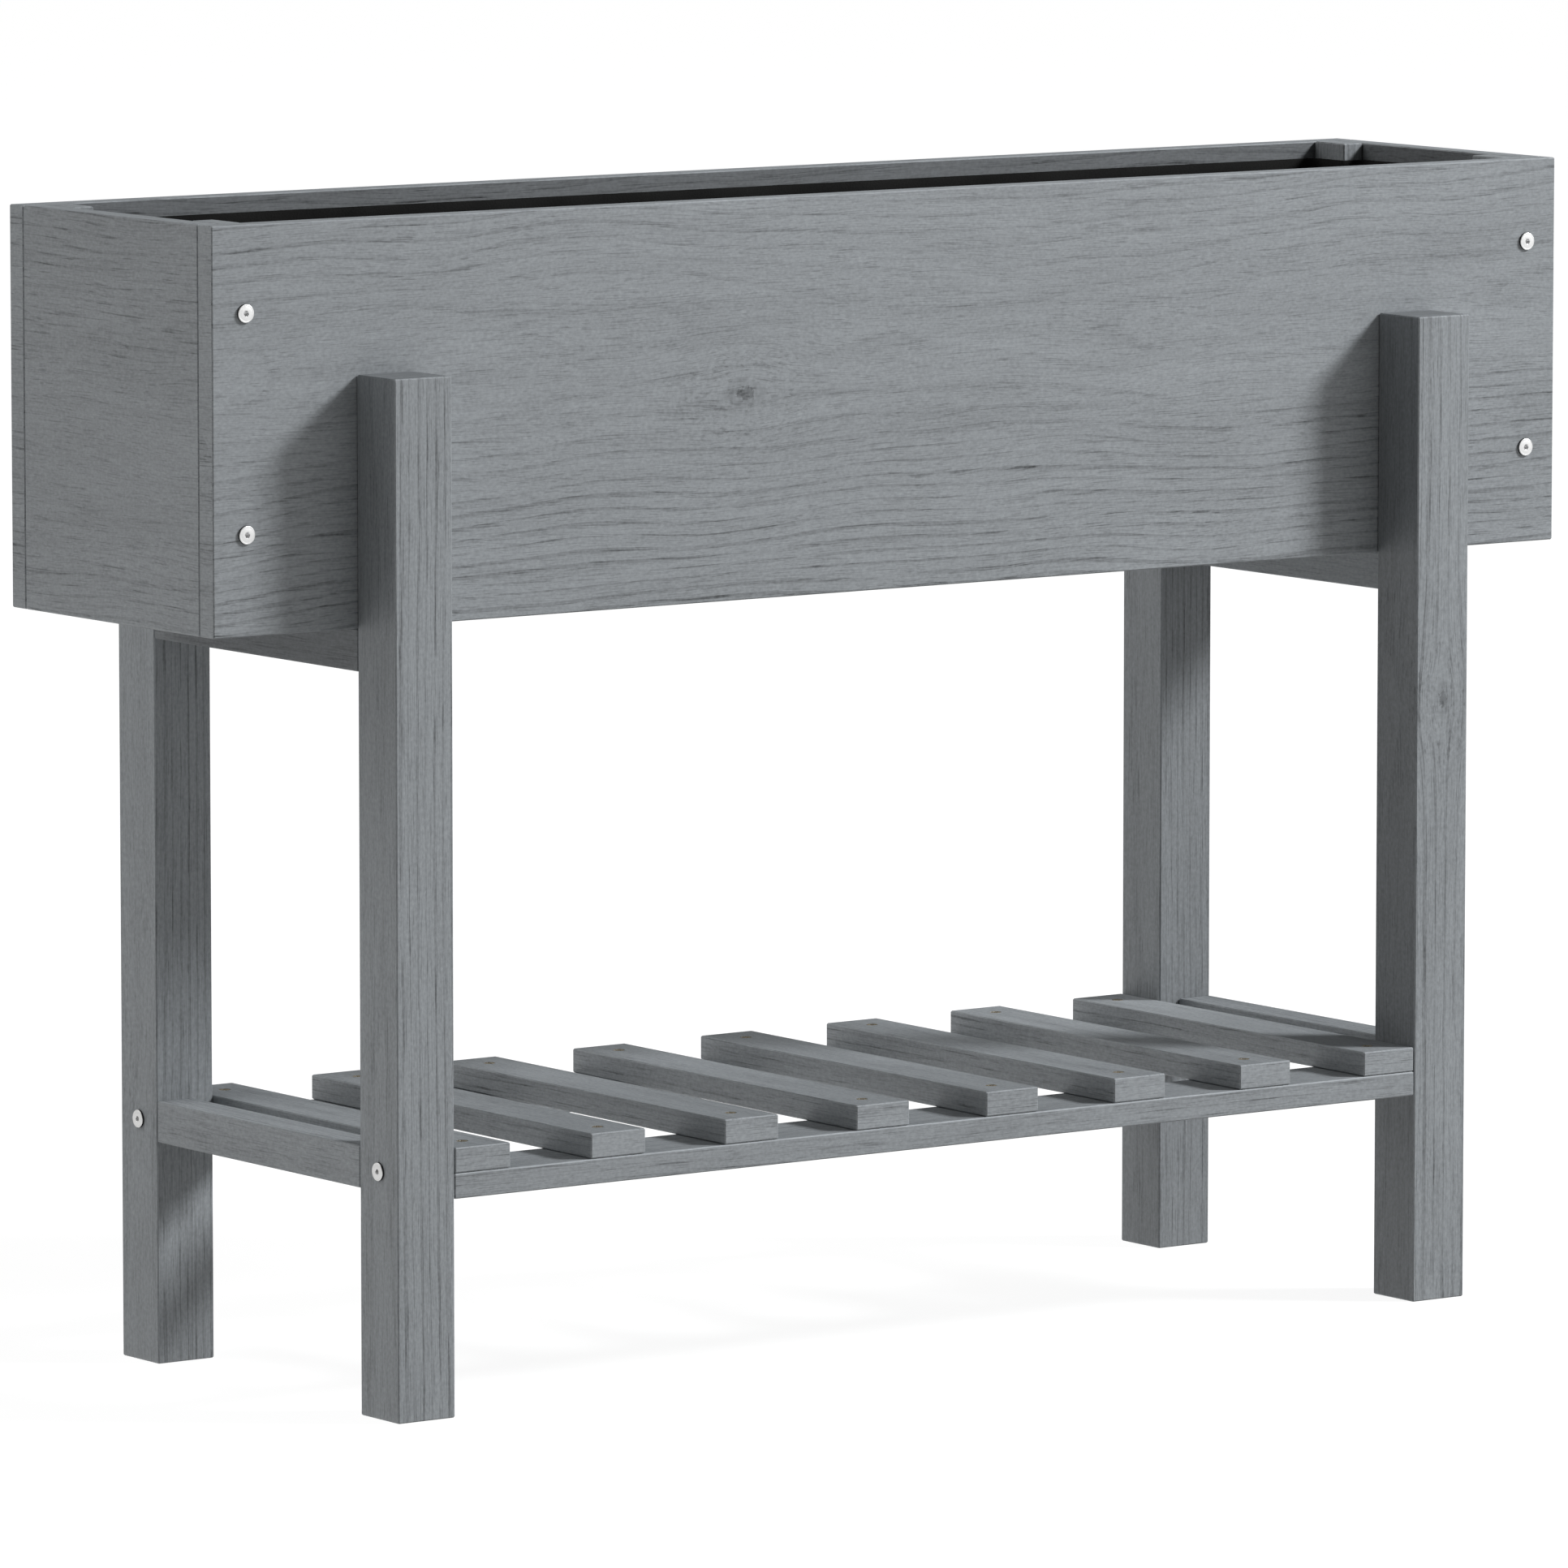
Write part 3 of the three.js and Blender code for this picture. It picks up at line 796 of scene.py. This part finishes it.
def add_fasteners():
    steel = metal_material("bright_steel", *STEEL)
    side = metal_material("painted_shade_steel_side", *SHADED_STEEL_SIDE)
    socket = metal_material("socket_steel", *SOCKET)
    slot_shade = metal_material("painted_shade_brass", *SHADED_CROSS_BRASS)
    brass = metal_material("brass", *BRASS)
    for row in frame["record"]["subparts"]:
        node, slot = row["node"], row["material_slot"]
        if slot not in ("bolt_steel", "screw_brass"):
            continue
        place, length = fastener_place(node)
        if slot == "bolt_steel":
            seat = place @ Matrix.Translation((0, 0, -BOLT_HEAD_HEIGHT))
            mesh = lofted(node, bolt_sections(length - BOLT_HEAD_HEIGHT), seat)
            finishes = [steel, socket, side]
        else:
            mesh = lofted(node, screw_sections(), place)
            # The screw's cross recess takes brass painted dark as the shade inside it.
            finishes = [brass, slot_shade]
        for finish in finishes:
            mesh.materials.append(finish)
        # The side of a bolt's head takes its third finish, painted near black as shade.
        inward = place.inverted()
        for face in mesh.polygons:
            spot = inward @ face.center
            if spot.xy.length < RECESS_REACH and -RECESS_DEPTH < spot.z < -RECESS_START:
                face.material_index = 1
            elif slot == "bolt_steel" and -BOLT_HEAD_HEIGHT < spot.z < -BOLT_SIDE_TOP:
                face.material_index = 2
        piece = bpy.data.objects.new(f"{node}_turned", mesh)
        bpy.context.scene.collection.objects.link(piece)
        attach(piece, "root")
        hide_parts(node)


def liner_corners(margin):
    """The corners of the inside of the box, which steps round the posts, as rows of a place
    and the radius that the fabric bends to there. A margin shrinks the outline."""
    wall_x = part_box("board_right_end")[0].x - margin
    wall_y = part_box("board_back")[0].y - margin
    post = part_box("post_back_right")[0]
    post_x, post_y = post.x - margin, post.y - margin
    rows = []
    for x, y in ((1, 1), (-1, 1), (-1, -1), (1, -1)):
        step = [
            (Vector((x * wall_x, y * post_y)), LINER_TUCK),
            (Vector((x * post_x, y * post_y)), LINER_WRAP),
            (Vector((x * post_x, y * wall_y)), LINER_TUCK),
        ]
        rows += step if x * y > 0 else step[::-1]
    return rows


def liner_path(margin, counts):
    """The outline as a closed list of points, with a rounded bend at each corner and then
    as many points as counts says on the way to the next."""
    rows = liner_corners(margin)
    path = []
    for i, ((corner, radius), count) in enumerate(zip(rows, counts)):
        next_corner, next_radius = rows[(i + 1) % len(rows)]
        before = (rows[i - 1][0] - corner).normalized()
        after = (next_corner - corner).normalized()
        start, end = corner + before * radius, corner + after * radius
        for step in range(LINER_BEND_STEPS):
            share = step / LINER_BEND_STEPS
            path.append(start.lerp(corner, share).lerp(corner.lerp(end, share), share))
        stop = next_corner - after * next_radius
        for step in range(count):
            path.append(end.lerp(stop, step / count))
    return path


def liner_levels(top, floor):
    """The heights of the liner's rings from the rim down, with how far each is drawn in
    where the wall turns into the floor."""
    count = round((top - floor - LINER_FOOT) / LINER_MESH)
    levels = [(0.0, top + (floor + LINER_FOOT - top) * i / count) for i in range(count + 1)]
    for i in range(1, LINER_FOOT_STEPS + 1):
        turn = math.pi / 2 * i / LINER_FOOT_STEPS
        drawn_in = LINER_FOOT * (1 - math.cos(turn))
        levels.append((drawn_in, floor + LINER_FOOT * (1 - math.sin(turn))))
    return levels


def liner_floor(ring, height):
    """Points and triangles for the floor inside a ring of points."""
    inside = []
    low = Vector((min(point.x for point in ring), min(point.y for point in ring)))
    high = -low
    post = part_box("post_back_right")[0] - Vector((1, 1, 0)) * LINER_MESH * 2
    columns, rows = (round((high[i] - low[i]) / LINER_MESH) for i in (0, 1))
    for i in range(2, columns - 1):
        for j in range(2, rows - 1):
            spot = low + Vector((i / columns, j / rows)) * (high - low)
            if abs(spot.x) < post.x or abs(spot.y) < post.y:
                inside.append(spot)
    edges = [(i, (i + 1) % len(ring)) for i in range(len(ring))]
    found = delaunay_2d_cdt(ring + inside, edges, [], INSIDE_ONLY, LINER_EPSILON)
    return [(*point, height) for point in found[0][len(ring):]], found[2]


def liner_sheet():
    """The liner as one open sheet of mesh, without its folds."""
    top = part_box("liner")[1].z - LINER_LOW
    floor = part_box("floor_board_middle")[1].z + LINER_CLEAR
    rows = liner_corners(LINER_CLEAR)
    counts = []
    for i, (corner, _) in enumerate(rows):
        length = (rows[(i + 1) % len(rows)][0] - corner).length
        counts.append(max(2, round(length / LINER_MESH)))
    points, faces = [], []
    for drawn_in, height in liner_levels(top, floor):
        ring = liner_path(LINER_CLEAR + drawn_in, counts)
        points += [(*point, height) for point in ring]
    size = len(ring)
    for start in range(0, len(points) - size, size):
        for i in range(size):
            j = (i + 1) % size
            faces.append((start + i, start + j, start + size + j, start + size + i))
    last = len(points) - size
    inner, triangles = liner_floor(ring, floor)
    points += inner
    faces += [tuple(last + i for i in triangle) for triangle in triangles]
    mesh = bpy.data.meshes.new("liner_sheet")
    mesh.from_pydata(points, [], faces)
    return mesh


def liner_folds(mesh):
    """Gives the fabric its slack: it hangs in soft folds below its fastened top edge, with
    sharper creases that slant across them, and lies in low puckers on the floor."""
    top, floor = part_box("liner")[1].z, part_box("floor_board_middle")[1].z
    post_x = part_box("post_back_right")[0].x
    for vertex in mesh.vertices:
        place = vertex.co
        drop = (top - place.z) / (top - floor)
        around = place.x + place.y
        across = around * LINER_SLANTS + drop * LINER_SLANT
        lengthways, sideways = LINER_PUCKERS
        fold = noise.noise(Vector((around * LINER_FOLDS, drop * LINER_FOLD_TURN, 3)))
        slant = noise.noise(Vector((across, drop * LINER_SLANT_TURN, 7)))
        pucker = noise.noise(Vector((place.x * lengthways, place.y * sideways, 9)))
        crease = max(0.0, 1 - LINER_CREASE_SHARPNESS * abs(slant))
        if place.z > floor + LINER_FOOT:
            slack = max(0.0, fold + LINER_CREASE * crease + LINER_EVEN_SLACK)
            room = (post_x - abs(place.x)) / LINER_TAUT
            slack *= min(1.0, max(LINER_LEAST_SLACK, room))
            depth = LINER_SLACK * slack * min(1.0, LINER_TOP_SLACK + drop * LINER_HANG)
            inward = Vector((-vertex.normal.x, -vertex.normal.y, 0))
            if inward.dot(Vector((place.x, place.y, 0))) > 0:
                inward = -inward
            vertex.co += inward.normalized() * depth
        else:
            ridge = max(0.0, 1 - LINER_CREASE_SHARPNESS * abs(pucker))
            vertex.co.z += LINER_PUCKER * (ridge + max(0.0, fold))


def fabric_material():
    """Black felted fabric: matted fibres, a little dust, and a faint sheen."""
    material = bpy.data.materials.new("liner_felt")
    material.use_nodes = True
    graph = Graph(material.node_tree)
    shader = material.node_tree.nodes["Principled BSDF"]
    place = graph.node("TexCoord").outputs["Object"]
    fibre = graph.noise(graph.vector("DIVIDE", place, (FELT,) * 3), *FELT_DETAIL)
    dust = graph.noise(graph.vector("DIVIDE", place, (DUST,) * 3), 2.0)
    tone = graph.maths("ADD", graph.swing(fibre, FELT_TONE), graph.swing(dust, DUST_TONE))
    tone = graph.maths("MAXIMUM", graph.maths("ADD", tone, 1.0), FABRIC_LEAST_TONE)
    graph.feed(shader.inputs["Base Color"], scaled(graph, FABRIC_COLOUR, tone))
    graph.feed(shader.inputs["Roughness"], graph.maths("MULTIPLY_ADD", fibre, 0.2, 0.8))
    shader.inputs["Specular IOR Level"].default_value = FABRIC_GLOSS
    shader.inputs["Sheen Weight"].default_value = FABRIC_SHEEN
    graph.bump(shader, graph.maths("MULTIPLY", fibre, FELT_RELIEF), FABRIC_BUMP)
    return material


def add_liner():
    mesh = liner_sheet()
    liner_folds(mesh)
    for polygon in mesh.polygons:
        polygon.use_smooth = True
    piece = bpy.data.objects.new("liner_sheet", mesh)
    bpy.context.scene.collection.objects.link(piece)
    thick = piece.modifiers.new("thickness", "SOLIDIFY")
    thick.thickness = LINER_THICKNESS
    thick.offset = 0
    set_material(piece, fabric_material())
    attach(piece, "root")
    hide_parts("liner")


def add_floor():
    """A pale floor that gives no light to matt surfaces. From below it can be seen through."""
    half = FLOOR_SIZE / 2
    corners = [(-half, -half, 0), (half, -half, 0), (half, half, 0), (-half, half, 0)]
    mesh = bpy.data.meshes.new("studio_floor")
    mesh.from_pydata(corners, [], [(0, 1, 2, 3)])
    floor = bpy.data.objects.new("studio_floor", mesh)
    bpy.context.scene.collection.objects.link(floor)
    material = bpy.data.materials.new("pale_floor")
    material.use_nodes = True
    graph = Graph(material.node_tree)
    glow = graph.node("Emission", (1, 1, 1, 1), FLOOR_GLOW)
    matt = graph.node("BsdfDiffuse", (*FLOOR_COLOUR, 1))
    pale = graph.node("AddShader", glow.outputs[0], matt.outputs[0])
    below = graph.node("NewGeometry").outputs["Backfacing"]
    clear = graph.node("BsdfTransparent")
    sided = graph.node("MixShader", below, pale.outputs[0], clear.outputs[0])
    output = material.node_tree.nodes["Material Output"]
    graph.feed(output.inputs["Surface"], sided.outputs[0])
    set_material(floor, material)
    floor.visible_diffuse = False
    floor.visible_shadow = False


def bearing(azimuth, elevation):
    level = math.cos(elevation)
    return (level * math.cos(azimuth), level * math.sin(azimuth), math.sin(elevation))


def add_sky():
    """The sum of the glows round the studio. The camera sees plain white behind the floor."""
    world = bpy.data.worlds.new("studio")
    world.use_nodes = True
    bpy.context.scene.world = world
    graph = Graph(world.node_tree)
    direction = graph.node("TexCoord").outputs["Generated"]
    total = 0.0
    for azimuth, elevation, strength in SKY_GLOWS:
        towards = bearing(math.radians(azimuth), math.radians(elevation))
        dot = graph.node("VectorMath", direction, towards, operation="DOT_PRODUCT")
        facing = graph.maths("MAXIMUM", dot.outputs["Value"], 0.0)
        lobe = graph.maths("POWER", facing, SKY_GLOW_SHARPNESS)
        total = graph.maths("MULTIPLY_ADD", lobe, strength, total)
    seen = graph.node("LightPath").outputs["Is Camera Ray"]
    strength = graph.node("Mix", seen, data_type="FLOAT")
    graph.feed(strength.inputs[2], total)
    graph.feed(strength.inputs[3], 1.0)
    background = world.node_tree.nodes["Background"]
    background.inputs["Color"].default_value = (*SKY_COLOUR, 1)
    graph.feed(background.inputs["Strength"], strength.outputs[0])


def add_light(name, place, size, power, colour, aim):
    data = bpy.data.lights.new(name, "AREA")
    data.shape = "DISK"
    data.size = size
    data.energy = power
    data.color = colour
    light = bpy.data.objects.new(name, data)
    light.location = place
    towards = Vector(aim) - Vector(place)
    light.rotation_euler = towards.to_track_quat("-Z", "Y").to_euler()
    bpy.context.scene.collection.objects.link(light)
    return light


def add_camera():
    data = bpy.data.cameras.new("camera")
    data.lens = CAMERA_LENS
    data.sensor_width = CAMERA_SENSOR
    data.clip_end = CAMERA_REACH
    camera = bpy.data.objects.new("camera", data)
    camera.location = CAMERA_PLACE
    tilt = math.radians(90 - CAMERA_PITCH)
    camera.rotation_euler = (tilt, 0, -math.radians(CAMERA_YAW))
    bpy.context.scene.collection.objects.link(camera)
    bpy.context.scene.camera = camera


bpy.context.scene.view_settings.view_transform = "Standard"
dress_wood()
add_fasteners()
add_liner()
add_sky()
add_light("key", KEY_PLACE, KEY_SIZE, KEY_POWER, KEY_COLOUR, (CAD_BOX[0] + CAD_BOX[1]) / 2)
add_floor()
add_camera()
